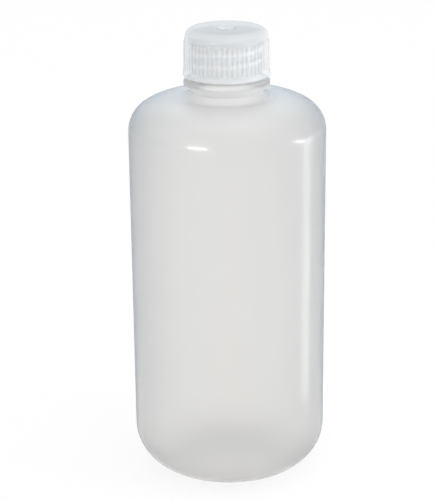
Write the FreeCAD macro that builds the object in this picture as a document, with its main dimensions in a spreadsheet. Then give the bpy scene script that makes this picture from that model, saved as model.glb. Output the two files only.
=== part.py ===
import FreeCAD, Part

import enum
import math
import os

import Sketcher

# Driving dimensions of the bottle, its screw cap and the cap's liner, in millimetres (angles in degrees).
SIZES = {
    # Bottle body
    "bottle_height": 168.2,
    "body_diameter": 73.0,
    "wall_thickness": 1.4,
    "heel_radius": 16.0,
    "standing_ring_width": 4.0,
    "base_rise": 3.0,
    # Bottle shoulder
    "shoulder_height": 13.8,
    "shoulder_corner_radius": 11.2,
    "shoulder_dome_radius": 38.0,
    "neck_fillet_radius": 2.0,
    # Bottle neck
    "neck_length": 3.3,
    "neck_diameter": 26.0,
    "neck_wall_thickness": 2.25,
    "bead_diameter": 31.8,
    "bead_height": 2.9,
    "bead_drop": 15.2,
    "finish_diameter": 25.5,
    "thread_depth": 1.0,
    "thread_length": 9.6,
    "thread_drop": 1.9,
    "thread_flank_width": 0.6,
    "lip_edge_radius": 0.6,
    # Screw cap
    "thread_clearance": 0.3,
    "rim_gap": 0.7,
    "cap_top_thickness": 2.2,
    "cap_top_edge_radius": 3.2,
    "cap_wall_thickness": 1.3,
    "cap_draft": 0.6,
    "flange_depth": 0.65,
    "flange_height": 2.6,
    "flange_bevel": 0.6,
    "rim_edge_radius": 0.5,
    "rim_lead_in": 0.5,
    "rib_count": 54,
    "rib_root_width": 1.1,
    "rib_crest_width": 0.5,
    "rib_depth": 0.4,
    "rib_sink": 0.3,
    "rib_end_gap": 0.6,
    "gate_well_diameter": 6.4,
    "gate_well_depth": 0.4,
    "gate_nub_diameter": 1.6,
    "gate_nub_height": 0.25,
    # Liner and the bead that keeps it in the cap
    "liner_thickness": 0.7,
    "liner_clearance": 0.15,
    "retaining_bead_radius": 0.45,
    "retaining_bead_gap": 0.1,
}

# What several features share, as expressions of the sheet: radii of the cap's bore and skirt, and heights.
CAP_BORE = "(sizes.finish_diameter / 2 + sizes.thread_depth + sizes.thread_clearance)"
SKIRT = f"({CAP_BORE} + sizes.cap_wall_thickness)"
CAP_DEPTH = "(sizes.bead_drop - sizes.rim_gap + sizes.liner_thickness)"
BEVEL_FOOT = "(sizes.flange_height - sizes.flange_bevel)"
RIB_TOP = f"({CAP_DEPTH} + sizes.cap_top_thickness - sizes.cap_top_edge_radius - sizes.rib_end_gap)"

# Two points nearer than this are the same point.
FINE = 1e-4


class Spot(enum.IntEnum):
    """How a sketch numbers the two ends of an edge and an arc's centre."""

    START = enum.auto()
    END = enum.auto()
    CENTRE = enum.auto()


def vector(point):
    """A sketch point as a FreeCAD vector."""
    return FreeCAD.Vector(point[0], point[1], 0)


def origin_plane(body, role):
    """The plane of a body's own origin that has the given role."""
    return next(feature for feature in body.Origin.OriginFeatures if feature.Role == role)


def make_sheet(doc):
    """The spreadsheet that holds every driving dimension under its own alias."""
    sheet = doc.addObject("Spreadsheet::Sheet", "sizes")
    for row, (alias, value) in enumerate(SIZES.items(), start=1):
        sheet.set(f"A{row}", alias)
        sheet.set(f"B{row}", str(value))
        sheet.setAlias(f"B{row}", alias)
    doc.recompute()
    return sheet


class Outline:
    """A closed outline, drawn as lines and arcs that are joined end to end in a sketch."""

    def __init__(self, body, name, role, start):
        self.sketch = body.newObject("Sketcher::SketchObject", name)
        self.sketch.AttachmentSupport = [(origin_plane(body, role), "")]
        self.sketch.MapMode = "FlatFace"
        self.point = start
        self.edges = {}
        self.order = []

    def first(self, name):
        """The sketch reference of the point where a named edge begins."""
        edge, first, _ = self.edges[name]
        return edge, first

    def last(self, name):
        """The sketch reference of the point where a named edge ends."""
        edge, _, last = self.edges[name]
        return edge, last

    def centre(self, name):
        """The sketch reference of a named arc's centre."""
        return self.edges[name][0], Spot.CENTRE

    def edge(self, name):
        """The sketch reference of a whole named edge."""
        return (self.edges[name][0],)

    def place(self, reference):
        """Where a referenced point of the section lies: its distance from the axis and its height."""
        point = self.sketch.getPoint(*reference)
        return point.x, point.y

    def line(self, name, end, smooth=False, level=None):
        """Draw a straight edge to a point; level is Horizontal or Vertical where the edge stays so."""
        index = self.sketch.addGeometry(Part.LineSegment(vector(self.point), vector(end)))
        self._join(name, index, Spot.START, Spot.END, end, smooth)
        if level:
            self.fix(level, self.edge(name))

    def arc(self, name, end, centre, clockwise=False, smooth=False):
        """Draw a round edge to a point about a centre."""
        radius = math.dist(self.point, centre)
        circle = Part.Circle(vector(centre), FreeCAD.Vector(0, 0, 1), radius)
        turns = [math.atan2(p[1] - centre[1], p[0] - centre[0]) for p in (self.point, end)]
        first, last = (Spot.END, Spot.START) if clockwise else (Spot.START, Spot.END)
        if clockwise:
            turns.reverse()
        index = self.sketch.addGeometry(Part.ArcOfCircle(circle, *turns))
        self._join(name, index, first, last, end, smooth)

    def close(self):
        """Join the last edge to the first one."""
        self.fix("Coincident", self.last(self.order[-1]) + self.first(self.order[0]))

    def fix(self, kind, *references):
        """Add a constraint that has no size."""
        self.sketch.addConstraint(Sketcher.Constraint(kind, *sum(references, ())))

    def size(self, kind, expression, *references):
        """Add a dimension and bind it to the sheet."""
        value = float(self.sketch.evalExpression(expression))
        unit = math.radians(value) if kind == "Angle" else value
        index = self.sketch.addConstraint(Sketcher.Constraint(kind, *sum(references, ()), unit))
        bound = f"({expression}) * 1 deg" if kind == "Angle" else expression
        self.sketch.setExpression(f"Constraints[{index}]", bound)

    def on_axis(self, reference):
        """Keep a point on the vertical axis of the sketch, which has the number -2 there."""
        self.fix("PointOnObject", reference, (-2,))

    def on_base(self, reference):
        """Keep a point on the horizontal axis of the sketch, which has the number -1 there."""
        self.fix("PointOnObject", reference, (-1,))

    def mirror(self, name):
        """Keep both ends of an edge equally far from the horizontal axis of the sketch."""
        self.fix("Symmetric", self.first(name), self.last(name), (-1,))

    def out(self, expression, reference):
        """Size how far a point lies out from the sketch's origin, which is the start of axis -1."""
        self.size("DistanceX", expression, (-1, Spot.START), reference)

    def up(self, expression, reference):
        """Size how far a point lies above the sketch's origin."""
        self.size("DistanceY", expression, (-1, Spot.START), reference)

    def turn(self, expression, reference):
        """Size the angle in degrees between the horizontal axis and an edge, at one end of the edge."""
        self.size("Angle", expression, (-1, Spot.START), reference)

    def _join(self, name, index, first, last, end, smooth):
        self.edges[name] = (index, first, last)
        if self.order:
            kind = "Tangent" if smooth else "Coincident"
            self.fix(kind, self.last(self.order[-1]), (index, first))
        self.order.append(name)
        self.point = end


def revolve(body, name, outline):
    """Turn a half section about the vertical axis of its sketch into a solid."""
    revolution = body.newObject("PartDesign::Revolution", name)
    revolution.Profile = outline.sketch
    revolution.ReferenceAxis = (outline.sketch, ["V_Axis"])
    revolution.Angle = 360.0
    outline.sketch.Document.recompute()
    return revolution


def ring_edge(feature, foot):
    """The name of the edge of a turned feature that runs round the axis through a point of its section."""
    for number, edge in enumerate(feature.Shape.Edges, start=1):
        start = edge.Vertexes[0].Point
        if edge.isClosed() and math.dist((math.hypot(start.x, start.y), start.z), foot) < FINE:
            return f"Edge{number}"
    raise ValueError(f"no edge runs round the axis through {foot}")


def arc_height(centre, radius, offset):
    """The height of the upper side of a circle at a distance from the axis."""
    return centre[1] + math.sqrt(radius ** 2 - (offset - centre[0]) ** 2)


def dome_centre(corner, corner_radius, neck, dome_radius):
    """The centre of the dome arc that runs through the neck point and is tangent to the corner arc."""
    span = math.dist(corner, neck)
    reach = dome_radius - corner_radius
    along = (reach ** 2 - dome_radius ** 2 + span ** 2) / (2 * span)
    aside = math.sqrt(reach ** 2 - along ** 2)
    step = ((neck[0] - corner[0]) / span, (neck[1] - corner[1]) / span)
    return (corner[0] + along * step[0] - aside * step[1], corner[1] + along * step[1] + aside * step[0])


def draw_bottle_wall(body, sheet):
    """The half section of the blow-moulded wall, from the base up the outside and down the inside."""
    wall = sheet.wall_thickness
    half = sheet.body_diameter / 2
    heel = (half - sheet.heel_radius, sheet.heel_radius)
    ring = heel[0] - sheet.standing_ring_width
    rise_radius = (ring ** 2 + sheet.base_rise ** 2) / (2 * sheet.base_rise)
    rise_centre = (0, sheet.base_rise - rise_radius)
    lip = sheet.bottle_height
    bead_top = lip - sheet.bead_drop
    bead_foot = bead_top - sheet.bead_height
    neck = (sheet.neck_diameter / 2, bead_foot - sheet.neck_length)
    wall_top = neck[1] - sheet.shoulder_height
    corner = (half - sheet.shoulder_corner_radius, wall_top)
    dome = dome_centre(corner, sheet.shoulder_corner_radius, neck, sheet.shoulder_dome_radius)
    lean = math.atan2(corner[1] - dome[1], corner[0] - dome[0])
    corner_end = (
        corner[0] + sheet.shoulder_corner_radius * math.cos(lean),
        corner[1] + sheet.shoulder_corner_radius * math.sin(lean),
    )
    nose = (sheet.bead_diameter / 2 - sheet.bead_height / 2, bead_top - sheet.bead_height / 2)
    finish = sheet.finish_diameter / 2
    thread = finish + sheet.thread_depth
    thread_top = lip - sheet.thread_drop
    thread_low = thread_top - sheet.thread_length
    flank = sheet.thread_flank_width
    edge = sheet.lip_edge_radius
    bore = finish - sheet.neck_wall_thickness
    inner_corner = sheet.shoulder_corner_radius - wall
    inner_dome = sheet.shoulder_dome_radius - wall
    inner_end = (corner[0] + inner_corner * math.cos(lean), corner[1] + inner_corner * math.sin(lean))
    floor_end = math.sqrt((rise_radius + wall) ** 2 - (wall - rise_centre[1]) ** 2)

    outline = Outline(body, "bottle_wall", "XZ_Plane", (0, sheet.base_rise))
    outline.arc("base_rise", (ring, 0), rise_centre, clockwise=True)
    outline.line("standing_ring", (heel[0], 0), level="Horizontal")
    outline.arc("heel", (half, heel[1]), heel, smooth=True)
    outline.line("wall", (half, wall_top), smooth=True, level="Vertical")
    outline.arc("corner", corner_end, corner, smooth=True)
    outline.arc("dome", neck, dome, smooth=True)
    outline.line("neck", (neck[0], bead_foot), level="Vertical")
    outline.line("bead_under", (nose[0], bead_foot), level="Horizontal")
    outline.arc("bead_nose", (nose[0], bead_top), nose, smooth=True)
    outline.line("bead_top", (finish, bead_top), smooth=True, level="Horizontal")
    outline.line("thread_foot", (finish, thread_low), level="Vertical")
    outline.line("lower_flank", (thread, thread_low + flank))
    outline.line("thread_band", (thread, thread_top - flank), level="Vertical")
    outline.line("upper_flank", (finish, thread_top))
    outline.line("lip_side", (finish, lip - edge), level="Vertical")
    outline.arc("lip_outer", (finish - edge, lip), (finish - edge, lip - edge), smooth=True)
    outline.line("lip_top", (bore + edge, lip), smooth=True, level="Horizontal")
    outline.arc("lip_inner", (bore, lip - edge), (bore + edge, lip - edge), smooth=True)
    outline.line("bore", (bore, arc_height(dome, inner_dome, bore)), smooth=True, level="Vertical")
    outline.arc("inner_dome", inner_end, dome, clockwise=True)
    outline.arc("inner_corner", (half - wall, wall_top), corner, clockwise=True, smooth=True)
    outline.line("inner_wall", (half - wall, heel[1]), smooth=True, level="Vertical")
    outline.arc("inner_heel", (heel[0], wall), heel, clockwise=True, smooth=True)
    outline.line("floor", (floor_end, wall), smooth=True, level="Horizontal")
    outline.arc("floor_rise", (0, sheet.base_rise + wall), rise_centre)
    outline.line("axis", (0, sheet.base_rise))
    outline.close()
    size_bottle_wall(outline)
    return outline


def size_bottle_wall(outline):
    """Tie the half section of the bottle to the sheet."""
    for point in (outline.first("axis"), outline.last("axis"), outline.centre("base_rise")):
        outline.on_axis(point)
    for inner, outer in (
        ("floor_rise", "base_rise"),
        ("inner_heel", "heel"),
        ("inner_corner", "corner"),
        ("inner_dome", "dome"),
    ):
        outline.fix("Coincident", outline.centre(inner), outline.centre(outer))
    outline.fix("Equal", outline.edge("lip_inner"), outline.edge("lip_outer"))
    outline.on_base(outline.first("standing_ring"))

    outline.out("sizes.body_diameter / 2", outline.first("wall"))
    outline.size("Radius", "sizes.heel_radius", outline.edge("heel"))
    ring = (outline.first("standing_ring"), outline.last("standing_ring"))
    outline.size("DistanceX", "sizes.standing_ring_width", *ring)
    outline.up("sizes.base_rise", outline.first("base_rise"))
    outline.size("DistanceY", "sizes.wall_thickness", outline.last("axis"), outline.first("axis"))
    outline.size("Radius", "sizes.shoulder_dome_radius - sizes.wall_thickness", outline.edge("inner_dome"))
    outline.size("Radius", "sizes.shoulder_dome_radius", outline.edge("dome"))
    outline.size("Radius", "sizes.shoulder_corner_radius", outline.edge("corner"))
    outline.size("DistanceY", "sizes.shoulder_height", outline.last("wall"), outline.first("neck"))

    lip = outline.first("lip_top")
    outline.up("sizes.bottle_height", lip)
    outline.size("DistanceY", "sizes.neck_length", outline.first("neck"), outline.last("neck"))
    outline.out("sizes.neck_diameter / 2", outline.first("neck"))
    outline.size("DistanceY", "sizes.bead_drop", outline.first("bead_top"), lip)
    bead = (outline.first("bead_nose"), outline.last("bead_nose"))
    outline.size("DistanceY", "sizes.bead_height", *bead)
    nose = "sizes.bead_diameter / 2 - sizes.bead_height / 2"
    outline.out(nose, outline.centre("bead_nose"))
    for edge in ("thread_foot", "lip_side"):
        outline.out("sizes.finish_diameter / 2", outline.first(edge))
    band = "sizes.finish_diameter / 2 + sizes.thread_depth"
    outline.out(band, outline.first("thread_band"))
    outline.size("DistanceY", "sizes.thread_drop", outline.first("lip_side"), lip)
    ends = (outline.last("thread_foot"), outline.first("lip_side"))
    outline.size("DistanceY", "sizes.thread_length", *ends)
    for edge in ("lower_flank", "upper_flank"):
        flank = (outline.first(edge), outline.last(edge))
        outline.size("DistanceY", "sizes.thread_flank_width", *flank)
    bore = "sizes.finish_diameter / 2 - sizes.neck_wall_thickness"
    outline.out(bore, outline.first("bore"))
    outline.size("Radius", "sizes.lip_edge_radius", outline.edge("lip_outer"))


def make_bottle(doc, sheet):
    """The bottle: a thin blow-moulded shell with a domed shoulder, a beaded neck and a round heel."""
    body = doc.addObject("PartDesign::Body", "bottle")
    outline = draw_bottle_wall(body, sheet)
    shell = revolve(body, "bottle_shell", outline)

    outer = body.newObject("PartDesign::Fillet", "neck_fillet")
    outer.Base = (shell, [ring_edge(shell, outline.place(outline.first("neck")))])
    outer.setExpression("Radius", "sizes.neck_fillet_radius")
    doc.recompute()
    inner = body.newObject("PartDesign::Fillet", "bore_fillet")
    inner.Base = (outer, [ring_edge(outer, outline.place(outline.last("bore")))])
    inner.setExpression("Radius", "sizes.neck_fillet_radius + sizes.wall_thickness")
    return body


def draw_cap_wall(body, sheet):
    """The half section of the cap, from the rim up the outside and down the inside."""
    bore = sheet.finish_diameter / 2 + sheet.thread_depth + sheet.thread_clearance
    depth = sheet.bead_drop - sheet.rim_gap + sheet.liner_thickness
    top = depth + sheet.cap_top_thickness
    skirt = bore + sheet.cap_wall_thickness
    flange = skirt + sheet.flange_depth
    rim_edge = sheet.rim_edge_radius
    top_edge = sheet.cap_top_edge_radius
    draft = math.radians(sheet.cap_draft)
    bevel_foot = sheet.flange_height - sheet.flange_bevel
    edge_height = top - top_edge + top_edge * math.sin(draft)
    edge_start = skirt - (edge_height - sheet.flange_height) * math.tan(draft)
    edge_centre = (edge_start - top_edge * math.cos(draft), top - top_edge)
    well = sheet.gate_well_diameter / 2
    well_floor = top - sheet.gate_well_depth
    nub = sheet.gate_nub_diameter / 2
    nub_top = well_floor + sheet.gate_nub_height
    bead = sheet.retaining_bead_radius
    bead_height = depth - sheet.liner_thickness - sheet.retaining_bead_gap - bead

    outline = Outline(body, "cap_wall", "XZ_Plane", (bore + sheet.rim_lead_in, 0))
    outline.line("rim", (flange - rim_edge, 0), level="Horizontal")
    outline.arc("rim_edge", (flange, rim_edge), (flange - rim_edge, rim_edge), smooth=True)
    outline.line("flange", (flange, bevel_foot), smooth=True, level="Vertical")
    outline.line("bevel", (skirt, sheet.flange_height))
    outline.line("skirt", (edge_start, edge_height))
    outline.arc("top_edge", (edge_centre[0], top), edge_centre, smooth=True)
    outline.line("top", (well, top), smooth=True, level="Horizontal")
    outline.line("well_side", (well, well_floor), level="Vertical")
    outline.line("well_floor", (nub, well_floor), level="Horizontal")
    outline.line("nub_side", (nub, nub_top), level="Vertical")
    outline.line("nub_top", (0, nub_top), level="Horizontal")
    outline.line("axis", (0, depth))
    outline.line("liner_seat", (bore, depth), level="Horizontal")
    outline.line("liner_side", (bore, bead_height + bead), level="Vertical")
    outline.arc("retaining_bead", (bore, bead_height - bead), (bore, bead_height))
    outline.line("bore", (bore, sheet.rim_lead_in), level="Vertical")
    outline.line("lead_in", (bore + sheet.rim_lead_in, 0))
    outline.close()
    size_cap_wall(outline)
    return outline


def size_cap_wall(outline):
    """Tie the half section of the cap to the sheet."""
    for point in (outline.first("axis"), outline.last("axis")):
        outline.on_axis(point)
    outline.on_base(outline.first("rim"))
    outline.fix("PointOnObject", outline.centre("retaining_bead"), outline.edge("bore"))

    outline.out(f"{SKIRT} + sizes.flange_depth", outline.last("flange"))
    outline.size("Radius", "sizes.rim_edge_radius", outline.edge("rim_edge"))
    outline.size("DistanceY", "sizes.flange_bevel", outline.first("bevel"), outline.last("bevel"))
    outline.up("sizes.flange_height", outline.first("skirt"))
    outline.out(SKIRT, outline.first("skirt"))
    outline.turn("90 + sizes.cap_draft", outline.first("skirt"))
    outline.size("Radius", "sizes.cap_top_edge_radius", outline.edge("top_edge"))
    outline.up(f"{CAP_DEPTH} + sizes.cap_top_thickness", outline.first("top"))

    outline.out("sizes.gate_well_diameter / 2", outline.last("top"))
    outline.size("DistanceY", "sizes.gate_well_depth", outline.last("well_side"), outline.first("well_side"))
    outline.out("sizes.gate_nub_diameter / 2", outline.first("nub_side"))
    outline.size("DistanceY", "sizes.gate_nub_height", outline.first("nub_side"), outline.last("nub_side"))

    outline.up(CAP_DEPTH, outline.last("axis"))
    outline.out(CAP_BORE, outline.last("liner_seat"))
    outline.out(CAP_BORE, outline.first("bore"))
    liner_side = (outline.last("liner_side"), outline.first("liner_side"))
    outline.size("DistanceY", "sizes.liner_thickness + sizes.retaining_bead_gap", *liner_side)
    outline.size("Radius", "sizes.retaining_bead_radius", outline.edge("retaining_bead"))
    outline.size("DistanceX", "sizes.rim_lead_in", outline.first("lead_in"), outline.last("lead_in"))
    outline.size("DistanceY", "sizes.rim_lead_in", outline.last("lead_in"), outline.first("lead_in"))


def draw_rib(body, sheet):
    """The cross section of one grip rib, which tapers outwards and is sunk into the skirt."""
    skirt = sheet.finish_diameter / 2 + sheet.thread_depth + sheet.thread_clearance + sheet.cap_wall_thickness
    root = skirt - sheet.rib_sink
    crest = skirt + sheet.rib_depth
    root_half = sheet.rib_root_width / 2
    crest_half = sheet.rib_crest_width / 2

    outline = Outline(body, "rib_section", "XY_Plane", (root, -root_half))
    outline.line("right_side", (crest, -crest_half))
    outline.line("crest", (crest, crest_half))
    outline.line("left_side", (root, root_half))
    outline.line("root", (root, -root_half))
    outline.close()
    outline.mirror("crest")
    outline.mirror("root")
    outline.out(f"{SKIRT} + sizes.rib_depth", outline.first("crest"))
    outline.out(f"{SKIRT} - sizes.rib_sink", outline.first("root"))
    outline.size("DistanceY", "sizes.rib_crest_width", outline.first("crest"), outline.last("crest"))
    outline.size("DistanceY", "sizes.rib_root_width", outline.last("root"), outline.first("root"))
    return outline


def add_ribs(body, sheet):
    """The grip ribs: one stands on the flange's bevel, and the rest repeat it about the axis."""
    section = draw_rib(body, sheet).sketch
    section.setExpression("AttachmentOffset.Base.z", BEVEL_FOOT)
    rib = body.newObject("PartDesign::Pad", "rib")
    rib.Profile = section
    rib.setExpression("Length", f"{RIB_TOP} - {BEVEL_FOOT}")
    ribs = body.newObject("PartDesign::PolarPattern", "ribs")
    ribs.Originals = [rib]
    ribs.Axis = (section, ["N_Axis"])
    ribs.Angle = 360.0
    ribs.setExpression("Occurrences", "sizes.rib_count")
    body.Tip = ribs


def make_screw_cap(doc, sheet):
    """The screw cap: a ribbed cup with a smooth flange round its rim and a seat for the liner inside."""
    body = doc.addObject("PartDesign::Body", "screw_cap")
    body.setExpression("Placement.Base.z", "sizes.bottle_height - sizes.bead_drop + sizes.rim_gap")
    revolve(body, "cap_shell", draw_cap_wall(body, sheet))
    add_ribs(body, sheet)
    return body


def make_cap_liner(doc):
    """The liner: a soft disc that the cap presses on the bottle's lip."""
    disc = doc.addObject("Part::Cylinder", "cap_liner")
    disc.setExpression("Radius", f"{CAP_BORE} - sizes.liner_clearance")
    disc.setExpression("Height", "sizes.liner_thickness")
    disc.setExpression("Placement.Base.z", "sizes.bottle_height")
    return disc


def check(doc, pieces):
    """Stop if anything in the document failed or a piece isn't one sound solid."""
    failed = [item.Name for item in doc.Objects if {"Invalid", "Error"} & set(item.State)]
    if failed:
        raise RuntimeError(f"failed objects: {failed}")
    sketches = doc.findObjects("Sketcher::SketchObject")
    loose = [sketch.Name for sketch in sketches if not sketch.FullyConstrained]
    if loose:
        raise RuntimeError(f"sketches with sizes left open: {loose}")
    for piece in pieces:
        if piece.Shape.isNull() or not piece.Shape.isValid() or len(piece.Shape.Solids) != 1:
            raise RuntimeError(f"{piece.Label} isn't one sound solid")


def main():
    doc = FreeCAD.newDocument("reagent_bottle")
    sheet = make_sheet(doc)
    pieces = [make_bottle(doc, sheet), make_screw_cap(doc, sheet), make_cap_liner(doc)]
    doc.recompute()
    check(doc, pieces)
    os.makedirs("parts", exist_ok=True)
    for piece in pieces:
        piece.Shape.exportStep(f"parts/{piece.Label}.step")
        box = piece.Shape.BoundBox
        print(f"{piece.Label}: {piece.Shape.Volume:.1f} mm3, z {box.ZMin:.2f} to {box.ZMax:.2f} mm")


main()
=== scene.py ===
import logging
import math
from abc import ABC, abstractmethod
from dataclasses import dataclass
from enum import Enum
from typing import Any, Callable, Mapping, Optional, Sequence, Union

import bmesh
import bpy
from mathutils import Matrix, Vector


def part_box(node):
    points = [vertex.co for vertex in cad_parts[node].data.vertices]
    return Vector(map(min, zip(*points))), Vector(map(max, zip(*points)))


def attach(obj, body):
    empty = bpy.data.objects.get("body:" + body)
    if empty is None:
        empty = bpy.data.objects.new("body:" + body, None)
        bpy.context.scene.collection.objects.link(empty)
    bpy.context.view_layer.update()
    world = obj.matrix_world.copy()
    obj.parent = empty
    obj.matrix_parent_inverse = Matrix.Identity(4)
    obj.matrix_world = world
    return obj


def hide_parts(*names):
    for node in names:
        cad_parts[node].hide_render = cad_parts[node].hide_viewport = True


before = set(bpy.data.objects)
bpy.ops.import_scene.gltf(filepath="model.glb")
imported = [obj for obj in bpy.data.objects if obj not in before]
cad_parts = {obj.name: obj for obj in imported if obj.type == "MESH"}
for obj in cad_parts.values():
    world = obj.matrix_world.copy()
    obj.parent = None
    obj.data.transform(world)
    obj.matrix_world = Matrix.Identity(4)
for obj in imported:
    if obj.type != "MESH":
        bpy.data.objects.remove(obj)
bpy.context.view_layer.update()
LOG = logging.getLogger("reagent_bottle")

# Where a step or a fade begins and where it ends.
Span = tuple[float, float]
# A point of a half section, as its distance from the axis and its height.
Point = tuple[float, float]
Place = tuple[float, float, float]
Colour = tuple[float, float, float]

# Shapes are drawn in millimetres, and each mesh is scaled to metres once it is built.
MM = 0.001
FULL_TURN = 2.0 * math.pi
# Angles in turns count from the X axis, so the bottle's front, which looks along minus Y, is a quarter back.
FRONT_TURNS = -0.25
# A point this near to a wall lies on it.
ON_WALL = 0.01
# Points this near to each other are merged.
SAME_POINT = 1e-4

WHITE: Colour = (1.0, 1.0, 1.0)
# The roof of a haze that has none: it lies far above the bottle, in metres.
OPEN_ABOVE: Span = (1.0, 0.9)


# Shader nodes

class Axis(Enum):
    """A coordinate of a place, named as it lies from the front."""

    ACROSS = "X"
    BEHIND = "Y"
    UP = "Z"


class Ray(Enum):
    """A kind of ray that the studio's materials tell apart."""

    CAMERA = "Is Camera Ray"
    GLOSSY = "Is Glossy Ray"
    THROUGH = "Is Transmission Ray"


class Wire:
    """A node's output socket that takes part in sums as a number does."""

    def __init__(self, graph: "Graph", socket: bpy.types.NodeSocket) -> None:
        """Wrap a socket of a graph."""
        self.graph = graph
        self.socket = socket

    def _math(self, operation: str, *values: Union["Wire", float]) -> "Wire":
        """Add a Math node and give its output."""
        return self.graph.node("ShaderNodeMath", {"operation": operation}, dict(enumerate(values)))

    def __add__(self, other: Union["Wire", float]) -> "Wire":
        """The sum of this and another value."""
        return self._math("ADD", self, other)

    def __sub__(self, other: Union["Wire", float]) -> "Wire":
        """This value less another."""
        return self._math("SUBTRACT", self, other)

    def __rsub__(self, other: float) -> "Wire":
        """A number less this value."""
        return self._math("SUBTRACT", other, self)

    def __mul__(self, other: Union["Wire", float]) -> "Wire":
        """The product of this and another value."""
        return self._math("MULTIPLY", self, other)

    def __truediv__(self, other: Union["Wire", float]) -> "Wire":
        """This value over another."""
        return self._math("DIVIDE", self, other)

    def __rtruediv__(self, other: float) -> "Wire":
        """A number over this value."""
        return self._math("DIVIDE", other, self)

    __radd__ = __add__
    __rmul__ = __mul__

    def __abs__(self) -> "Wire":
        """This value without its sign."""
        return self._math("ABSOLUTE", self)

    def greater(self, other: Union["Wire", float]) -> "Wire":
        """The larger of this and another value."""
        return self._math("MAXIMUM", self, other)


class Graph:
    """The node tree of a material or of the world."""

    def __init__(self, owner: Union[bpy.types.Material, bpy.types.World]) -> None:
        """Start an empty tree.

        Args:
            owner: The material or world that the tree belongs to.
        """
        owner.use_nodes = True
        self.tree = owner.node_tree
        self.tree.nodes.clear()

    def node(
        self,
        kind: str,
        settings: Optional[Mapping[str, Any]] = None,
        sockets: Optional[Mapping[Union[int, str], Any]] = None,
        output: Union[int, str] = 0,
    ) -> Optional[Wire]:
        """Add a node.

        Args:
            kind: The node's type.
            settings: Its own properties, set first.
            sockets: Values or wires for its inputs, by name or number. A colour has three parts.
            output: The output that is wanted.

        Returns:
            That output, or None on a node with no outputs.
        """
        made = self.tree.nodes.new(kind)
        for name, value in (settings or {}).items():
            setattr(made, name, value)
        for name, value in (sockets or {}).items():
            socket = made.inputs[name]
            if isinstance(value, Wire):
                self.tree.links.new(value.socket, socket)
            elif socket.type == "RGBA":
                socket.default_value = (*value, 1.0)
            else:
                socket.default_value = value
        return Wire(self, made.outputs[output]) if len(made.outputs) else None

    def ramp(self, value: Wire, span: Span) -> Wire:
        """A soft step of a value.

        Args:
            value: What is read.
            span: Where the step is 0 and where it is 1.

        Returns:
            A number from 0 to 1.
        """
        sockets = {"Value": value, "From Min": span[0], "From Max": span[1]}
        return self.node("ShaderNodeMapRange", {"interpolation_type": "SMOOTHSTEP"}, sockets)

    def blend(self, share: Wire, first: Union[Wire, Colour], second: Union[Wire, Colour]) -> Wire:
        """Mix two colours.

        Args:
            share: How much of the second colour there is, from 0 to 1.
            first: The colour at 0.
            second: The colour at 1.

        Returns:
            The mixed colour.
        """
        sockets = {"Factor": share, "A": first, "B": second}
        return self.node("ShaderNodeMix", {"data_type": "RGBA"}, sockets, "Result")

    def noise(self, place: Wire, scale: float, detail: float) -> Wire:
        """A noise pattern.

        Args:
            place: The coordinates that it is read at.
            scale: How fine it is.
            detail: How many finer layers it has.

        Returns:
            A number from 0 to 1.
        """
        sockets = {"Vector": place, "Scale": scale, "Detail": detail}
        return self.node("ShaderNodeTexNoise", {}, sockets, "Fac")

    def coordinate(self, place: Wire, axis: Axis) -> Wire:
        """One coordinate of a place."""
        return self.node("ShaderNodeSeparateXYZ", {}, {"Vector": place}, axis.value)

    def length(self, place: Wire) -> Wire:
        """The distance of a place from the origin."""
        return self.node("ShaderNodeVectorMath", {"operation": "LENGTH"}, {0: place}, "Value")

    def rays(self, kind: Ray) -> Wire:
        """A mask of one kind of ray."""
        return self.node("ShaderNodeLightPath", output=kind.value)


# Finishes

@dataclass(frozen=True)
class Haze:
    """Milkiness that thicker plastic adds, or takes away where its gain is below zero.

    It grows along radii, which are distances from the axis, and along heights, and it ends at its roof.
    All of these are in metres.
    """

    radii: Span
    heights: Span
    gain: float
    roof: Span = OPEN_ABOVE

    def added(self, graph: Graph, radius: Wire, height: Wire) -> Wire:
        """Work out the haze in a material.

        Args:
            graph: The material's node tree.
            radius: The surface's distance from the axis.
            height: The surface's height.

        Returns:
            The haze at each point, from 0 to the gain.
        """
        below = graph.ramp(height, self.roof)
        return graph.ramp(radius, self.radii) * graph.ramp(height, self.heights) * below * self.gain


@dataclass(frozen=True)
class Look:
    """The wires that the shaders of one plastic share.

    The sockets are those that all its Principled shaders have.
    The uneven wire is the roughness, which follows the grain.
    """

    place: Wire
    cloud: Wire
    uneven: Wire
    sockets: Mapping[str, Any]


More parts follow.
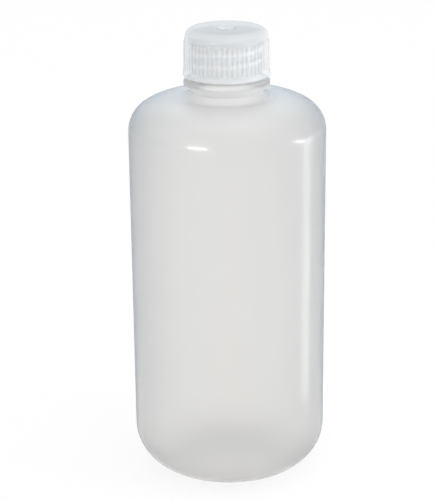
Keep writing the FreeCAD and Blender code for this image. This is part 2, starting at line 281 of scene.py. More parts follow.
@dataclass(frozen=True, kw_only=True)
class Plastic(ABC):
    """What the plastics have in common: a clouded colour, a fine grain, a soft shine and hazes."""

    name: str
    colour: Colour
    cloud_colour: Colour
    cloud_scale: float
    cloud_detail: float = 3.0
    hazes: Sequence[Haze] = ()
    roughness: float
    roughness_spread: float
    refraction: float
    gloss: float
    gloss_roughness: float
    grain_scale: float
    grain_detail: float = 4.0
    grain_stretch: float = 1.0
    grain_height: float

    def material(self) -> bpy.types.Material:
        """Build the plastic's material.

        Returns:
            The material, ready to be put on a piece.
        """
        made = bpy.data.materials.new(self.name)
        graph = Graph(made)
        self._shade(graph, self._look(graph))
        return made

    def _look(self, graph: Graph) -> Look:
        """Lay out the colour and the grain.

        Args:
            graph: The material's node tree.

        Returns:
            The wires for the shaders.
        """
        place = graph.node("ShaderNodeTexCoord", output="Object")
        cloud = graph.noise(place, self.cloud_scale, self.cloud_detail)
        stretch = (1.0, 1.0, self.grain_stretch)
        stretched = graph.node("ShaderNodeMapping", {}, {"Vector": place, "Scale": stretch})
        grain = graph.noise(stretched, self.grain_scale, self.grain_detail)
        relief = {"Height": grain * self.grain_height, "Distance": 1.0}
        least_roughness = self.roughness - 0.5 * self.roughness_spread
        sockets = {
            "Base Color": graph.blend(cloud, self.colour, self.cloud_colour),
            "IOR": self.refraction,
            "Coat Weight": self.gloss,
            "Coat Roughness": self.gloss_roughness,
            "Normal": graph.node("ShaderNodeBump", {}, relief),
        }
        return Look(place, cloud, grain * self.roughness_spread + least_roughness, sockets)

    def _haze(self, graph: Graph, place: Wire, start: Union[Wire, float]) -> Wire:
        """Add up the hazes.

        Args:
            graph: The material's node tree.
            place: The surface's coordinates.
            start: What the hazes are added to.

        Returns:
            The whole haze at each point.
        """
        flat = graph.node("ShaderNodeVectorMath", {"operation": "MULTIPLY"}, {0: place, 1: (1.0, 1.0, 0.0)})
        radius = graph.length(flat)
        height = graph.coordinate(place, Axis.UP)
        return sum((haze.added(graph, radius, height) for haze in self.hazes), start)

    @abstractmethod
    def _shade(self, graph: Graph, look: Look) -> None:
        """Add the plastic's own shaders and the output."""


@dataclass(frozen=True, kw_only=True)
class MilkyPlastic(Plastic):
    """Natural, unpigmented plastic: it passes light, scatters some of it and shines softly."""

    milk: float
    absorption_colour: Colour
    absorption_density: float

    def _shade(self, graph: Graph, look: Look) -> None:
        """Add a clear shader, the milk in it and the hazy skin on its outer faces.

        Args:
            graph: The material's node tree.
            look: The wires that the shaders share.
        """
        clear_sockets = {**look.sockets, "Roughness": look.uneven, "Transmission Weight": 1.0}
        clear = graph.node("ShaderNodeBsdfPrincipled", {}, clear_sockets)
        scattered = graph.node("ShaderNodeBsdfTranslucent", {}, {"Color": self.colour})
        milky = graph.node("ShaderNodeMixShader", {}, {0: self.milk, 1: clear, 2: scattered})
        skin = graph.node("ShaderNodeBsdfPrincipled", {}, {**look.sockets, "Roughness": self.roughness})
        outer = 1.0 - graph.node("ShaderNodeNewGeometry", output="Backfacing")
        bloom = self._haze(graph, look.place, 0.0) * outer
        surface = graph.node("ShaderNodeMixShader", {}, {0: bloom, 1: milky, 2: skin})
        depth = {"Color": self.absorption_colour, "Density": self.absorption_density}
        absorption = graph.node("ShaderNodeVolumeAbsorption", {}, depth)
        graph.node("ShaderNodeOutputMaterial", {}, {"Surface": surface, "Volume": absorption})


@dataclass(frozen=True, kw_only=True)
class FrostedPlastic(Plastic):
    """Frosted, see-through plastic, milkier where it is thicker."""

    cover: float
    cloud_cover: float = 0.1

    def _shade(self, graph: Graph, look: Look) -> None:
        """Add one shader that covers more where the plastic is clouded or hazy.

        Args:
            graph: The material's node tree.
            look: The wires that the shader takes up.
        """
        clouded = look.cloud * self.cloud_cover + self.cover
        cover = self._haze(graph, look.place, clouded)
        sockets = {**look.sockets, "Roughness": look.uneven, "Alpha": cover}
        surface = graph.node("ShaderNodeBsdfPrincipled", {}, sockets)
        graph.node("ShaderNodeOutputMaterial", {}, {"Surface": surface})


# The hazes lie on the shoulder, the neck's foot, the bead's slope, the bead and all above it, the bead's top
# and the thread.
BOTTLE_PLASTIC = MilkyPlastic(
    name="natural_polyethylene",
    colour=(0.985, 0.985, 0.98),
    cloud_colour=(0.970, 0.970, 0.965),
    cloud_scale=25.0,
    milk=0.08,
    hazes=(
        Haze(radii=(0.0340, 0.0180), heights=(0.1330, 0.1430), gain=0.38, roof=(0.1520, 0.1485)),
        Haze(radii=(0.0180, 0.0160), heights=(0.1430, 0.1442), gain=-0.05, roof=(0.1490, 0.1475)),
        Haze(radii=(0.0230, 0.0150), heights=(0.1470, 0.1490), gain=0.20, roof=(0.1520, 0.1495)),
        Haze(radii=(0.0165, 0.0155), heights=(0.1475, 0.1510), gain=0.28),
        Haze(radii=(0.0165, 0.0150), heights=(0.1527, 0.1533), gain=0.40, roof=(0.1545, 0.1541)),
        Haze(radii=(0.0128, 0.0137), heights=(0.1540, 0.1550), gain=0.90),
    ),
    roughness=0.29,
    roughness_spread=0.03,
    refraction=1.51,
    gloss=0.8,
    gloss_roughness=0.12,
    absorption_colour=(0.18, 0.32, 0.44),
    absorption_density=6.0,
    grain_scale=600.0,
    grain_stretch=0.15,
    grain_height=0.000015,
)

# The hazes lie on the ribs, the gate mark, the top and the inner thread.
CAP_PLASTIC = FrostedPlastic(
    name="natural_polypropylene",
    colour=(0.81, 0.83, 0.85),
    cloud_colour=(0.78, 0.80, 0.82),
    cloud_scale=60.0,
    cover=0.29,
    hazes=(
        Haze(radii=(0.01530, 0.01575), heights=(0.150, 0.151), gain=0.10),
        Haze(radii=(0.0036, 0.0028), heights=(0.1690, 0.1705), gain=0.38),
        Haze(radii=(0.0170, 0.0160), heights=(0.1670, 0.1700), gain=0.22),
        Haze(radii=(0.0140, 0.0131), heights=(0.1685, 0.1680), gain=0.35),
    ),
    roughness=0.38,
    roughness_spread=0.08,
    refraction=1.49,
    gloss=0.5,
    gloss_roughness=0.12,
    grain_scale=900.0,
    grain_height=0.00002,
)

LINER_PLASTIC = FrostedPlastic(
    name="liner_disc",
    colour=(0.95, 0.95, 0.94),
    cloud_colour=(0.90, 0.90, 0.89),
    cloud_scale=400.0,
    cover=0.4,
    roughness=0.55,
    roughness_spread=0.1,
    refraction=1.5,
    gloss=0.0,
    gloss_roughness=0.3,
    grain_scale=2500.0,
    grain_height=0.00004,
)


# Shapes

def smooth_step(low: float, high: float, value: float) -> float:
    """A soft step from 0 at low to 1 at high, which may lie below low.

    Args:
        low: Where the step begins.
        high: Where it ends.
        value: Where it is read.

    Returns:
        A number from 0 to 1.
    """
    share = min(max((value - low) / (high - low), 0.0), 1.0)
    return share * share * (3.0 - 2.0 * share)


def arc_top(centre: Point, radius: float, offset: float) -> float:
    """The height of the upper side of a circle.

    Args:
        centre: The circle's centre, as distance from the axis and height.
        radius: The circle's radius.
        offset: The distance from the axis.

    Returns:
        The height there.
    """
    return centre[1] + math.sqrt(radius ** 2 - (offset - centre[0]) ** 2)


def direction(centre: Point, point: Point) -> float:
    """The angle at which a point of a section lies, seen from a centre."""
    return math.atan2(point[1] - centre[1], point[0] - centre[0])


class HalfSection:
    """A half section in the XZ plane, drawn by moving one vertex, that is then turned about the Z axis."""

    def __init__(self, start: Point) -> None:
        """Put the pen down at a distance from the axis and a height."""
        self.mesh = bmesh.new()
        self.pen = self.mesh.verts.new((start[0], 0.0, start[1]))

    def line(self, end: Point, steps: int = 1) -> None:
        """Draw a straight run.

        Args:
            end: Where the run ends.
            steps: How many edges it has.
        """
        step = (Vector((end[0], 0.0, end[1])) - self.pen.co) / steps
        for _ in range(steps):
            drawn = bmesh.ops.extrude_vert_indiv(self.mesh, verts=[self.pen])
            self.pen = drawn["verts"][0]
            bmesh.ops.translate(self.mesh, verts=[self.pen], vec=step)

    def arc(self, centre: Point, end: Point, steps: int) -> None:
        """Draw a round run the short way about a centre.

        Args:
            centre: The arc's centre.
            end: A point in the direction where the run ends.
            steps: How many edges it has.
        """
        here = (self.pen.co.x, self.pen.co.z)
        sweep = direction(centre, end) - direction(centre, here)
        sweep = (sweep + math.pi) % FULL_TURN - math.pi
        drawn = bmesh.ops.spin(
            self.mesh,
            geom=[self.pen],
            cent=(centre[0], 0.0, centre[1]),
            axis=(0.0, -1.0, 0.0),
            angle=sweep,
            steps=steps,
        )
        self.pen = next(item for item in drawn["geom_last"] if isinstance(item, bmesh.types.BMVert))

    def turn(self, columns: int, sectors: int) -> bmesh.types.BMesh:
        """Turn the section about the axis into a closed skin.

        Args:
            columns: How many faces a sector of the skin has round the axis.
            sectors: How many equal sectors the whole skin is made of.

        Returns:
            The skin, with its doubles merged and its faces pointing outwards.
        """
        about_axis = {"cent": (0.0, 0.0, 0.0), "axis": (0.0, 0.0, 1.0)}
        sector = FULL_TURN / sectors
        section = self.mesh.verts[:] + self.mesh.edges[:]
        bmesh.ops.spin(self.mesh, geom=section, angle=sector, steps=columns, **about_axis)
        first = self.mesh.verts[:] + self.mesh.edges[:] + self.mesh.faces[:]
        bmesh.ops.spin(
            self.mesh,
            geom=first,
            angle=FULL_TURN - sector,
            steps=sectors - 1,
            use_duplicate=True,
            **about_axis,
        )
        bmesh.ops.remove_doubles(self.mesh, verts=self.mesh.verts[:], dist=SAME_POINT)
        bmesh.ops.recalc_face_normals(self.mesh, faces=self.mesh.faces[:])
        return self.mesh


def swell(mesh: bmesh.types.BMesh, outward: Callable[[float, float, float], float]) -> None:
    """Move a turned skin in or out along its radius.

    Args:
        mesh: The skin.
        outward: How far a vertex moves, from its radius, its angle in turns and its height.
    """
    for vertex in mesh.verts:
        radius = math.hypot(vertex.co.x, vertex.co.y)
        if radius > 0.0:
            turns = math.atan2(vertex.co.y, vertex.co.x) / FULL_TURN
            scale = 1.0 + outward(radius, turns, vertex.co.z) / radius
            vertex.co.x *= scale
            vertex.co.y *= scale


def put_in_scene(name: str, mesh: bmesh.types.BMesh) -> bpy.types.Object:
    """Make an object of a mesh, at the origin.

    Args:
        name: The object's name.
        mesh: The mesh in metres, which is used up.

    Returns:
        The object, linked to the scene.
    """
    data = bpy.data.meshes.new(name)
    mesh.to_mesh(data)
    mesh.free()
    made = bpy.data.objects.new(name, data)
    bpy.context.scene.collection.objects.link(made)
    return made


def finished_piece(name: str, mesh: bmesh.types.BMesh) -> bpy.types.Object:
    """Scale a mesh to metres, shade it smooth and put it in the scene.

    Args:
        name: The piece's name.
        mesh: The mesh in millimetres, which is used up.

    Returns:
        The piece's object.
    """
    bmesh.ops.scale(mesh, vec=(MM, MM, MM), verts=mesh.verts[:])
    for face in mesh.faces:
        face.smooth = True
    piece = put_in_scene(name, mesh)
    LOG.info("%s: %d faces", name, len(piece.data.polygons))
    return piece


@dataclass(frozen=True, kw_only=True)
class Helix:
    """A single right-hand thread ridge, by the path of its middle and its cross section."""

    pitch: float = 4.2333
    front_height: float
    first_turn: float
    last_turn: float
    foot_width: float
    crest_width: float
    depth: float = 1.0
    run_out: float = 0.12

    def height_at(self, turns: float) -> float:
        """The height of the ridge's middle after a number of turns from the X axis."""
        return self.front_height + (turns - FRONT_TURNS) * self.pitch

    def ridge(self, turns: float, height: float) -> float:
        """How far the ridge stands proud at a point of the wall.

        Args:
            turns: The point's angle, in turns from the X axis.
            height: The point's height.

        Returns:
            The height of the ridge there, which fades out at both ends of the thread.
        """
        lap = round((height - self.height_at(turns)) / self.pitch)
        along = turns + lap
        aside = abs(height - self.height_at(along))
        flank = smooth_step(0.5 * self.foot_width, 0.5 * self.crest_width, aside)
        start = smooth_step(self.first_turn, self.first_turn + self.run_out, along)
        end = smooth_step(self.last_turn, self.last_turn - self.run_out, along)
        return self.depth * flank * start * end


@dataclass(kw_only=True)
class Moulding(ABC):
    """A piece that is moulded in one plastic."""

    plastic: Plastic

    @abstractmethod
    def build(self) -> bpy.types.Object:
        """Build the piece's mesh and give its object."""

    def dress(self, piece: bpy.types.Object) -> None:
        """Give the piece its plastic.

        Args:
            piece: The piece's object.
        """
        piece.data.materials.append(self.plastic.material())
        LOG.info("%s wears %s", piece.name, self.plastic.name)


@dataclass(frozen=True)
class BottleSteps:
    """How many edges each run of the bottle's section has."""

    base: int = 14
    ring: int = 3
    heel: int = 16
    wall: int = 24
    shoulder: int = 14
    fillet: int = 8
    neck: int = 2
    bead_slope: int = 4
    bead_side: int = 6
    bead_crown: int = 8
    bead_top: int = 2
    finish: int = 4
    thread: int = 60
    lip: int = 2
    lip_edge: int = 6
    bore: int = 16


@dataclass(kw_only=True)
class Bottle(Moulding):
    """The blow-moulded bottle: heel, straight wall, domed shoulder, beaded neck and thread."""

    plastic: Plastic = BOTTLE_PLASTIC
    height: float
    body_radius: float
    wall: float = 1.4
    heel_radius: float = 16.0
    ring_width: float = 4.0
    base_rise: float = 3.0
    shoulder_height: float = 12.6
    corner_radius: float = 11.2
    dome_radius: float = 28.0
    neck_fillet: float = 4.2
    neck_length: float = 4.0
    neck_radius: float = 13.0
    neck_wall: float = 2.25
    bead_radius: float = 15.9
    bead_height: float = 3.4
    bead_slope: float = 45.0
    bead_drop: float = 15.2
    finish_radius: float = 12.75
    thread_drop: float = 1.9
    thread_length: float = 9.6
    lip_edge: float = 0.6
    steps: BottleSteps = BottleSteps()
    columns: int = 16
    sectors: int = 12
    thread: Helix = Helix(
        front_height=159.2,
        first_turn=-0.55,
        last_turn=1.17,
        foot_width=2.3,
        crest_width=1.0,
    )

    @classmethod
    def from_frame(cls) -> "Bottle":
        """The bottle at the size of its node in the frame."""
        low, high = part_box("bottle")
        return cls(height=high.z / MM, body_radius=0.5 * (high.x - low.x) / MM)

    @property
    def heel(self) -> Point:
        """The centre of the heel's arc."""
        return self.body_radius - self.heel_radius, self.heel_radius

    @property
    def ring_radius(self) -> float:
        """The inner radius of the ring that the bottle stands on."""
        return self.heel[0] - self.ring_width

    @property
    def rise_radius(self) -> float:
        """The radius of the arc in which the base rises."""
        return (self.ring_radius ** 2 + self.base_rise ** 2) / (2.0 * self.base_rise)

    @property
    def rise(self) -> Point:
        """The centre of the base's arc."""
        return 0.0, self.base_rise - self.rise_radius

    @property
    def bead_top(self) -> float:
        """The height of the bead's flat top."""
        return self.height - self.bead_drop

    @property
    def neck_foot(self) -> Point:
        """Where the neck would meet the shoulder if there were no fillet."""
        return self.neck_radius, self.bead_top - self.bead_height - self.neck_length

    @property
    def corner(self) -> Point:
        """The centre of the shoulder's corner, level with the top of the straight wall."""
        return self.body_radius - self.corner_radius, self.neck_foot[1] - self.shoulder_height

    @property
    def dome(self) -> Point:
        """The centre of the dome that meets the neck and runs smoothly into the shoulder's corner.

        Returns:
            The centre of the dome's arc.
        """
        corner, neck = self.corner, self.neck_foot
        span = math.dist(corner, neck)
        reach = self.dome_radius - self.corner_radius
        along = (reach ** 2 - self.dome_radius ** 2 + span ** 2) / (2.0 * span)
        aside = math.sqrt(reach ** 2 - along ** 2)
        right, up = (neck[0] - corner[0]) / span, (neck[1] - corner[1]) / span
        return corner[0] + along * right - aside * up, corner[1] + along * up + aside * right

    @property
    def shoulder_join(self) -> Point:
        """A point in the direction, seen from the corner's centre, where its arc meets the dome's.

        Returns:
            The point.
        """
        corner = self.corner
        angle = direction(self.dome, corner)
        return corner[0] + math.cos(angle), corner[1] + math.sin(angle)

    @property
    def bore(self) -> float:
        """The radius of the mouth."""
        return self.finish_radius - self.neck_wall

    def _fillet(self, dome_radius: float, side: float, radius: float) -> Point:
        """The centre of the fillet between the dome and an upright wall.

        Args:
            dome_radius: The dome's radius on that side of the wall.
            side: The wall's distance from the axis.
            radius: The fillet's radius.

        Returns:
            The centre of the fillet's arc.
        """
        return side + radius, arc_top(self.dome, dome_radius + radius, side + radius)

    def _draw(self) -> HalfSection:
        """Draw the wall from the middle of the base up the outside and down the inside.

        Returns:
            The closed half section.
        """
        pen = HalfSection((0.0, self.base_rise))
        self._draw_body(pen)
        self._draw_bead(pen)
        self._draw_finish(pen)
        self._draw_inside(pen)
        return pen

    def _draw_body(self, pen: HalfSection) -> None:
        """Draw the base, heel, wall and shoulder on the outside.

        Args:
            pen: The section, at the middle of the base.
        """
        fillet = self._fillet(self.dome_radius, self.neck_radius, self.neck_fillet)
        pen.arc(self.rise, (self.ring_radius, 0.0), self.steps.base)
        pen.line((self.heel[0], 0.0), self.steps.ring)
        pen.arc(self.heel, (self.body_radius, self.heel[1]), self.steps.heel)
        pen.line((self.body_radius, self.corner[1]), self.steps.wall)
        pen.arc(self.corner, self.shoulder_join, self.steps.shoulder)
        pen.arc(self.dome, fillet, self.steps.shoulder)
        pen.arc(fillet, (self.neck_radius, fillet[1]), self.steps.fillet)

    def _draw_bead(self, pen: HalfSection) -> None:
        """Draw the neck and the bead with its sloped underside and round nose.

        Args:
            pen: The section, at the top of the neck's fillet.
        """
        nose_radius = 0.5 * self.bead_height
        nose = (self.bead_radius - nose_radius, self.bead_top - nose_radius)
        slope = math.radians(self.bead_slope)
        chin = (nose[0] + nose_radius * math.sin(slope), nose[1] - nose_radius * math.cos(slope))
        throat = chin[1] - (chin[0] - self.neck_radius) * math.tan(slope)
        pen.line((self.neck_radius, throat), self.steps.neck)
        pen.line(chin, self.steps.bead_slope)
        pen.arc(nose, (self.bead_radius, nose[1]), self.steps.bead_side)
        pen.arc(nose, (nose[0], self.bead_top), self.steps.bead_crown)
        pen.line((self.finish_radius, self.bead_top), self.steps.bead_top)

    def _draw_finish(self, pen: HalfSection) -> None:
        """Draw the wall that carries the thread, and the lip.

        Args:
            pen: The section, at the foot of that wall.
        """
        outer, bore, top = self.finish_radius, self.bore, self.height
        thread_top = top - self.thread_drop
        edge = self.lip_edge
        pen.line((outer, thread_top - self.thread_length), self.steps.finish)
        pen.line((outer, thread_top), self.steps.thread)
        pen.line((outer, top - edge), self.steps.lip)
        pen.arc((outer - edge, top - edge), (outer - edge, top), self.steps.lip_edge)
        pen.line((bore + edge, top), self.steps.lip)
        pen.arc((bore + edge, top - edge), (bore, top - edge), self.steps.lip_edge)

    def _draw_inside(self, pen: HalfSection) -> None:
        """Draw the inside from the mouth down to the middle of the base.

        Args:
            pen: The section, at the inner edge of the lip.
        """
        fillet = self._fillet(self.dome_radius - self.wall, self.bore, self.neck_fillet + self.wall)
        floor_edge = math.sqrt((self.rise_radius + self.wall) ** 2 - (self.wall - self.rise[1]) ** 2)
        pen.line((self.bore, fillet[1]), self.steps.bore)
        pen.arc(fillet, self.dome, self.steps.fillet)
        pen.arc(self.dome, self.shoulder_join, self.steps.shoulder)
        pen.arc(self.corner, (self.body_radius, self.corner[1]), self.steps.shoulder)
        pen.line((self.body_radius - self.wall, self.heel[1]), self.steps.wall)
        pen.arc(self.heel, (self.heel[0], 0.0), self.steps.heel)
        pen.line((floor_edge, self.wall), self.steps.ring)
        pen.arc(self.rise, (0.0, self.base_rise + self.wall), self.steps.base)

    def _thread_out(self, radius: float, turns: float, height: float) -> float:
        """How far a point of the neck's outside moves out for the thread.

        Args:
            radius: The point's distance from the axis.
            turns: Its angle, in turns.
            height: Its height.

        Returns:
            The move, which is 0 off that wall.
        """
        if abs(radius - self.finish_radius) > ON_WALL:
            return 0.0
        return self.thread.ridge(turns, height)

    def build(self) -> bpy.types.Object:
        """Turn the wall, raise the thread on the neck and stand the piece in for its node.

        Returns:
            The bottle's object.
        """
        mesh = self._draw().turn(self.columns, self.sectors)
        swell(mesh, self._thread_out)
        piece = finished_piece("bottle_wall", mesh)
        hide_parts("bottle")
        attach(piece, "bottle")
        return piece


@dataclass(frozen=True)
class CapSteps:
    """How many edges each longer run of the cap's section has."""

    nub: int = 2
    well_floor: int = 4
    well_side: int = 2
    top: int = 8
    top_edge: int = 12
    skirt: int = 30
    flange: int = 2
    rim: int = 5
    bore: int = 60
    bead: int = 4
    seat: int = 6


@dataclass(kw_only=True)
class ScrewCap(Moulding):
    """The moulded cap: ribbed skirt, smooth flange, rounded top with a gate mark, and the thread inside."""

    plastic: Plastic = CAP_PLASTIC
    foot: float
    top: float
    flange_radius: float
    bore: float = 14.05
    skirt_radius: float = 15.35
    draft: float = 0.6
    depth: float = 15.2
    top_edge: float = 3.2
    flange_height: float = 2.6
    flange_bevel: float = 0.6
    rim_edge: float = 0.5
    lead_in: float = 0.5
    rib_count: int = 54
    rib_depth: float = 0.4
    rib_sharpness: float = 1.3
    rib_end_gap: float = 1.2
    rib_end_fade: Span = (0.3, -0.4)
    rib_foot_fade: float = 0.1
    well_radius: float = 3.2
    well_depth: float = 0.4
    nub_radius: float = 0.8
    nub_height: float = 0.25
    bead_radius: float = 0.45
    liner_room: float = 0.8
    steps: CapSteps = CapSteps()
    columns_per_rib: int = 10
    thread: Helix = Helix(
        front_height=157.6,
        first_turn=-0.2,
        last_turn=1.05,
        foot_width=2.0,
        crest_width=0.9,
    )

    @classmethod
    def from_frame(cls) -> "ScrewCap":
        """The cap at the size and place of its node in the frame."""
        low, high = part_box("screw_cap")
        return cls(foot=low.z / MM, top=high.z / MM, flange_radius=0.5 * (high.x - low.x) / MM)

    @property
    def flange_top(self) -> float:
        """The height at which the flange ends and the ribs begin."""
        return self.foot + self.flange_height

    def _draw(self) -> HalfSection:
        """Draw the wall from the gate mark down the outside and up the inside.

        Returns:
            The closed half section.
        """
        well_floor = self.top - self.well_depth
        nub_top = well_floor + self.nub_height
        pen = HalfSection((0.0, nub_top))
        pen.line((self.nub_radius, nub_top), self.steps.nub)
        pen.line((self.nub_radius, well_floor), self.steps.nub)
        pen.line((self.well_radius, well_floor), self.steps.well_floor)
        pen.line((self.well_radius, self.top), self.steps.well_side)
        self._draw_outside(pen)
        self._draw_inside(pen)
        return pen

    def _draw_outside(self, pen: HalfSection) -> None:
        """Draw the top, its round edge, the drafted skirt and the flange.

        Args:
            pen: The section, at the edge of the gate's well.
        """
        lean = math.radians(self.draft)
        edge_height = self.top - self.top_edge * (1.0 - math.sin(lean))
        edge_radius = self.skirt_radius - (edge_height - self.flange_top) * math.tan(lean)
        edge = (edge_radius - self.top_edge * math.cos(lean), self.top - self.top_edge)
        rim = (self.flange_radius - self.rim_edge, self.foot + self.rim_edge)
        pen.line((edge[0], self.top), self.steps.top)
        pen.arc(edge, (edge_radius, edge_height), self.steps.top_edge)
        pen.line((self.skirt_radius, self.flange_top), self.steps.skirt)
        pen.line((self.flange_radius, self.flange_top - self.flange_bevel), self.steps.flange)
        pen.line((self.flange_radius, rim[1]), self.steps.flange)
        pen.arc(rim, (rim[0], self.foot), self.steps.rim)

    def _draw_inside(self, pen: HalfSection) -> None:
        """Draw the bore, the bead that holds the liner and the liner's seat.

        Args:
            pen: The section, at the underside of the rim.
        """
        seat = self.foot + self.depth
        bead = (self.bore, seat - self.liner_room - self.bead_radius)
        pen.line((self.bore + self.lead_in, self.foot))
        pen.line((self.bore, self.foot + self.lead_in))
        pen.line((self.bore, bead[1] - self.bead_radius), self.steps.bore)
        pen.arc(bead, (self.bore - self.bead_radius, bead[1]), self.steps.bead)
        pen.arc(bead, (self.bore, bead[1] + self.bead_radius), self.steps.bead)
        pen.line((self.bore, seat))
        pen.line((0.0, seat), self.steps.seat)

    def _ribs_out(self, radius: float, turns: float, height: float) -> float:
        """How far a point of the skirt's outside moves out for the grip ribs.

        Args:
            radius: The point's distance from the axis.
            turns: Its angle, in turns.
            height: Its height.

        Returns:
            The move, which is 0 on the cap's inside and between the ribs.
        """
        if radius < 0.5 * (self.bore + self.skirt_radius):
            return 0.0
        rib_end = self.top - self.top_edge - self.rib_end_gap
        wave = 0.5 + 0.5 * math.cos(FULL_TURN * turns * self.rib_count)
        upper = smooth_step(rib_end + self.rib_end_fade[0], rib_end + self.rib_end_fade[1], height)
        lower = smooth_step(self.flange_top - self.rib_foot_fade, self.flange_top, height)
        return self.rib_depth * wave ** self.rib_sharpness * upper * lower

    def _thread_in(self, radius: float, turns: float, height: float) -> float:
        """How far a point of the bore moves in for the thread.

        Args:
            radius: The point's distance from the axis.
            turns: Its angle, in turns.
            height: Its height.

        Returns:
            The move, below zero on the thread and 0 off the bore.
        """
        if abs(radius - self.bore) > ON_WALL:
            return 0.0
        return -self.thread.ridge(turns, height)

    def build(self) -> bpy.types.Object:
        """Turn the wall, raise the ribs and the thread, and stand the piece in for its node.

        Returns:
            The cap's object.
        """
        mesh = self._draw().turn(self.columns_per_rib, self.rib_count)
        swell(mesh, self._thread_in)
        swell(mesh, self._ribs_out)
        piece = finished_piece("cap_wall", mesh)
        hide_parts("screw_cap")
        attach(piece, "cap")
        return piece


@dataclass(kw_only=True)
class CapLiner(Moulding):
    """The soft disc under the cap's top, with round edges and a little air above and below it."""

    plastic: Plastic = LINER_PLASTIC
    foot: float
    top: float
    radius: float
    edge: float = 0.25
    air: float = 0.03
    face_steps: int = 8
    edge_steps: int = 4
    columns: int = 8
    sectors: int = 12

    @classmethod
    def from_frame(cls) -> "CapLiner":
        """The liner at the size and place of its node in the frame."""
        low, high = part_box("cap_liner")
        return cls(foot=low.z / MM, top=high.z / MM, radius=0.5 * (high.x - low.x) / MM)

    def _draw(self) -> HalfSection:
        """Draw the disc from the middle of its underside to the middle of its top.

        Returns:
            The closed half section.
        """
        low, high = self.foot + self.air, self.top - self.air
        side = self.radius - self.edge
        pen = HalfSection((0.0, low))
        pen.line((side, low), self.face_steps)
        pen.arc((side, low + self.edge), (self.radius, low + self.edge), self.edge_steps)
        pen.line((self.radius, high - self.edge))
        pen.arc((side, high - self.edge), (side, high), self.edge_steps)
        pen.line((0.0, high), self.face_steps)
        return pen

    def build(self) -> bpy.types.Object:
        """Turn the disc and stand it in for its node.

        Returns:
            The liner's object.
        """
        piece = finished_piece("liner_disc", self._draw().turn(self.columns, self.sectors))
        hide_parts("cap_liner")
        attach(piece, "liner")
        return piece


# Studio

@dataclass(frozen=True, kw_only=True)
class Softbox:
    """A rectangular studio lamp, aimed at a point of the object."""

    name: str
    place: Place
    aim: Place
    size: tuple[float, float]
    power: float
    tilt: float = 0.0
    mirrored: bool = True

    def build(self) -> bpy.types.Object:
        """Hang the lamp in the scene.

        Returns:
            The lamp's object.
        """
        data = bpy.data.lights.new(self.name, "AREA")
        data.shape = "RECTANGLE"
        data.size, data.size_y = self.size
        data.energy = self.power
        lamp = bpy.data.objects.new(self.name, data)
        lamp.location = self.place
        lamp.visible_camera = False
        lamp.visible_transmission = False
        lamp.visible_glossy = self.mirrored
        facing = (Vector(self.aim) - Vector(self.place)).to_track_quat("-Z", "Y")
        tilted = facing.to_matrix() @ Matrix.Rotation(math.radians(self.tilt), 3, "Z")
        lamp.rotation_euler = tilted.to_euler()
        bpy.context.scene.collection.objects.link(lamp)
        return lamp


# The strip and its head make the long sheen on the right, and the window makes the glint on the left.
LAMPS = (
    Softbox(
        name="side_strip",
        place=(0.10, -0.004, 0.062),
        aim=(0.0, -0.004, 0.062),
        size=(0.022, 0.15),
        power=0.0145,
    ),
    Softbox(
        name="strip_head",
        place=(0.10, -0.018, 0.133),
        aim=(0.0, -0.018, 0.133),
        size=(0.050, 0.012),
        power=0.010,
        tilt=-31.0,
    ),
    Softbox(
        name="top_softbox",
        place=(0.1, 0.1, 1.2),
        aim=(0.0, 0.0, 0.1),
        size=(1.0, 1.0),
        power=1.5,
    ),
    Softbox(
        name="front_window",
        place=(-0.46, -0.68, 0.28),
        aim=(0.0, 0.0, 0.13),
        size=(0.32, 0.09),
        power=1.15,
    ),
    Softbox(
        name="cap_fill",
        place=(0.28, -0.12, 0.20),
        aim=(0.0, 0.0, 0.16),
        size=(0.10, 0.10),
        power=0.25,
        mirrored=False,
    ),
)


@dataclass
class PhotographCamera:
    """The camera at the photograph's viewing angle."""

    image_height: int = 500
    focal_pixels: float = 1682.0
    sensor: float = 36.0
    near_clip: float = 0.01
    elevation: float = 19.6
    distance: float = 0.637
    target: Place = (-0.00403, 0.0, 0.0857)
    roll: float = -0.6

    def build(self) -> bpy.types.Object:
        """Put the camera where the photograph was taken from.

        Returns:
            The camera's object.
        """
        data = bpy.data.cameras.new("photograph_camera")
        data.sensor_width = self.sensor
        data.lens = self.focal_pixels / self.image_height * self.sensor
        data.clip_start = self.near_clip
        camera = bpy.data.objects.new("photograph_camera", data)
        height = math.radians(self.elevation)
        back = Vector((0.0, -math.cos(height), math.sin(height)))
        turn = back.to_track_quat("Z", "Y").to_matrix() @ Matrix.Rotation(math.radians(self.roll), 3, "Z")
        camera.matrix_world = Matrix.Translation(Vector(self.target) + back * self.distance) @ turn.to_4x4()
        bpy.context.scene.collection.objects.link(camera)
        return camera


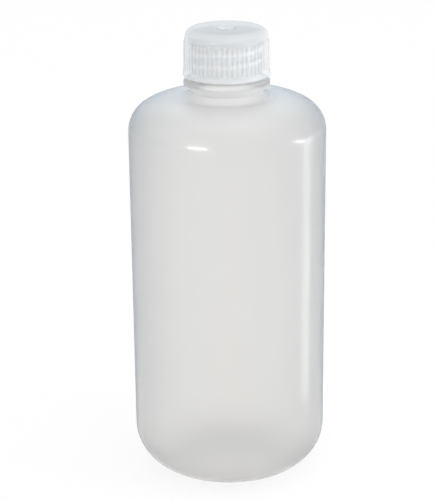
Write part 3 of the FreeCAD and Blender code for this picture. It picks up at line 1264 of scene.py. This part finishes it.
@dataclass
class PaperFloor:
    """White paper, which is white where it is seen and still takes a shadow.

    The bottle passes on a painted pool of light on the paper: its tint is cooler and darker away from the
    pool.
    It mirrors painted reflections: a cool floor beside it, painted darkness in a wedge that widens behind
    it, and painted half shade about the sides of its foot.
    """

    size: float = 6.0
    paper: Colour = (0.95, 0.95, 0.95)
    # Painted pool of light: the tint where the pool is, and the cooler, darker tint away from it.
    painted_pool_tint: Colour = (0.995, 0.975, 0.948)
    painted_falloff_tint: Colour = (0.66, 0.71, 0.76)
    # A painted cool reflection of the floor beside the bottle.
    painted_cool_reflection: Colour = (0.86, 0.93, 1.0)
    # Painted dark reflection, in the wedge behind the bottle and about its foot.
    painted_dark_reflection: Colour = (0.42, 0.49, 0.56)
    glow: float = 0.85
    glow_through: float = 0.87
    # Where the painted pool of light fades out to either side, and where its middle lies.
    painted_pool: Span = (0.15, 0.60)
    painted_pool_middle: float = -0.015
    # How far to either side the painted cool reflection sets in.
    side: Span = (0.03, 0.12)
    # The painted dark wedge: how steeply it widens behind the bottle, and where its tip lies.
    painted_wedge_slope: Span = (0.6, 1.7)
    painted_wedge_apex: float = 0.030
    least_width: float = 0.001
    # Painted shade about the foot, standing in for the bottle's contact shadow, at half the wedge's
    # darkness.
    painted_foot_reach: Span = (0.070, 0.048)
    painted_foot_side: Span = (0.024, 0.036)
    painted_foot_shade: float = 0.5

    def build(self) -> bpy.types.Object:
        """Lay the floor that the bottle stands on.

        Returns:
            The floor's object.
        """
        mesh = bmesh.new()
        bmesh.ops.create_grid(mesh, x_segments=1, y_segments=1, size=0.5 * self.size)
        floor = put_in_scene("studio_floor", mesh)
        floor.data.materials.append(self._material())
        return floor

    def _material(self) -> bpy.types.Material:
        """Build the paper's material.

        Returns:
            The material, which glows where it is seen and is plain paper to all other light.
        """
        made = bpy.data.materials.new("white_paper")
        graph = Graph(made)
        camera = graph.rays(Ray.CAMERA)
        through = graph.rays(Ray.THROUGH)
        reflected = graph.rays(Ray.GLOSSY) * (1.0 - through)
        colour = graph.blend(camera, self._painted_tint(graph, reflected), WHITE)
        paper = graph.node("ShaderNodeBsdfDiffuse", {}, {"Color": self.paper})
        glow = graph.node("ShaderNodeEmission", {}, {"Color": colour, "Strength": 1.0})
        seen = (camera * self.glow).greater((through + reflected) * self.glow_through)
        mixed = graph.node("ShaderNodeMixShader", {}, {0: seen, 1: paper, 2: glow})
        graph.node("ShaderNodeOutputMaterial", {}, {"Surface": mixed})
        return made

    def _painted_tint(self, graph: Graph, reflected: Wire) -> Wire:
        """The painted colour of the floor as the bottle passes it on or mirrors it: a painted pool of light
        and painted reflections.

        Args:
            graph: The paper's node tree.
            reflected: A mask of mirrored rays.

        Returns:
            The colour.
        """
        place = graph.node("ShaderNodeTexCoord", output="Object")
        across = graph.coordinate(place, Axis.ACROSS)
        width = abs(across)
        # The painted pool of light fades to the cooler, darker tint on either side.
        painted_falloff = graph.ramp(abs(across - self.painted_pool_middle), self.painted_pool)
        painted_tint = graph.blend(painted_falloff, self.painted_pool_tint, self.painted_falloff_tint)
        # The painted cool reflection on either side, seen only in mirrored rays.
        painted_tint = graph.blend(graph.ramp(width, self.side) * reflected, painted_tint, self.painted_cool_reflection)
        # Painted darkness in the wedge and about the foot, seen only in mirrored rays, which darkens the
        # bottle's rims.
        return graph.blend(self._painted_dark(graph, place, width) * reflected, painted_tint, self.painted_dark_reflection)

    def _painted_dark(self, graph: Graph, place: Wire, width: Wire) -> Wire:
        """How dark the painted reflection of the floor is, in the painted dark wedge and in the painted
        shade about the foot.

        Args:
            graph: The paper's node tree.
            place: The floor's coordinates.
            width: The distance to either side of the bottle's middle.

        Returns:
            A number from 0 to 1.
        """
        slope = graph.coordinate(place, Axis.BEHIND) / (width - self.painted_wedge_apex).greater(self.least_width)
        # Painted shade on the floor about the foot.
        painted_shade_at_foot = graph.ramp(graph.length(place), self.painted_foot_reach) * graph.ramp(width, self.painted_foot_side)
        return graph.ramp(slope, self.painted_wedge_slope).greater(painted_shade_at_foot * self.painted_foot_shade)


@dataclass
class WhiteWorld:
    """Plain white light all round, with the cooler colours that the bottle passes on and mirrors."""

    ambient: Colour = (0.95, 0.95, 0.95)
    seen_through: Colour = (0.96, 0.98, 1.0)
    mirrored_low: Colour = (0.52, 0.64, 0.76)
    mirrored_high: Colour = (0.86, 0.94, 1.0)
    rise: Span = (0.0, 0.6)

    def build(self) -> bpy.types.World:
        """Surround the bottle with the light.

        Returns:
            The world.
        """
        world = bpy.data.worlds.new("white_studio")
        bpy.context.scene.world = world
        graph = Graph(world)
        aim = graph.node("ShaderNodeTexCoord", output="Generated")
        risen = graph.ramp(graph.coordinate(aim, Axis.UP), self.rise)
        mirrored = graph.blend(risen, self.mirrored_low, self.mirrored_high)
        colour = graph.blend(graph.rays(Ray.GLOSSY), self.ambient, mirrored)
        colour = graph.blend(graph.rays(Ray.THROUGH), colour, self.seen_through)
        colour = graph.blend(graph.rays(Ray.CAMERA), colour, WHITE)
        glow = graph.node("ShaderNodeBackground", {}, {"Color": colour, "Strength": 1.0})
        graph.node("ShaderNodeOutputWorld", {}, {"Surface": glow})
        return world


def set_up_studio() -> None:
    """Add the camera, the floor, the world and the lamps."""
    bpy.context.scene.view_settings.view_transform = "Standard"
    bpy.context.scene.camera = PhotographCamera().build()
    PaperFloor().build()
    WhiteWorld().build()
    for lamp in LAMPS:
        lamp.build()


def main() -> None:
    """Build the pieces in order, dress them and light them."""
    logging.basicConfig(level=logging.INFO, format="%(relativeCreated)6d ms  %(name)s: %(message)s")
    for moulding in (Bottle.from_frame(), ScrewCap.from_frame(), CapLiner.from_frame()):
        moulding.dress(moulding.build())
    set_up_studio()


if __name__ == "__main__":
    main()
